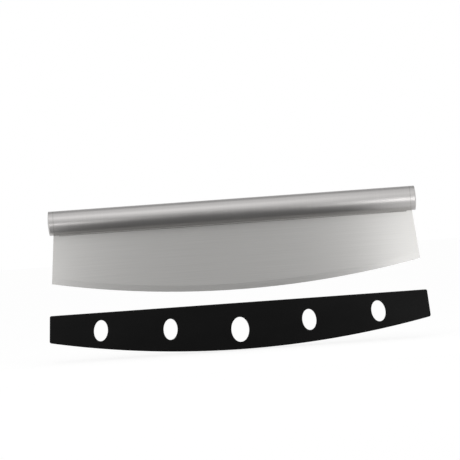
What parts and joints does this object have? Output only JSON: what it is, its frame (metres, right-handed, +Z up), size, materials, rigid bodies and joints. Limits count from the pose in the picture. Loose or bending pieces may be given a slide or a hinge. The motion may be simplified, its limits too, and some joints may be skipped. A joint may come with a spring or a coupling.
{
  "type": "rocking pizza knife",
  "caption": "Wide stainless steel rocking knife with a curved edge and a tube handle along its top, and a slotted black plastic edge guard that slides off below.",
  "frame": {"origin": "on the axis of the tube handle, halfway along it", "axes": "+X along the handle, +Z up from the edge to the handle, front of the knife along -Y"},
  "size_m": [0.3678, 0.0234, 0.1453],
  "materials": {
    "handle_steel": "satin, brushed round the tube",
    "blade_steel": "satin, brushed lengthwise",
    "weld_metal": "ground weld",
    "guard_plastic": "fine matte moulded"
  },
  "bodies": {
    "knife": {"handle_tube": "handle_steel", "left_end_cap": "handle_steel", "right_end_cap": "handle_steel", "left_cap_weld": "weld_metal", "right_cap_weld": "weld_metal", "blade": "blade_steel", "front_weld_seam": "weld_metal", "rear_weld_seam": "weld_metal"},
    "guard": {"blade_guard": "guard_plastic"}
  },
  "joints": [
    {"name": "guard_slide", "type": "slide", "parent": "knife", "child": "guard", "axis": [0, 0, 1], "range_m": [0, 0.0547]}
  ]
}
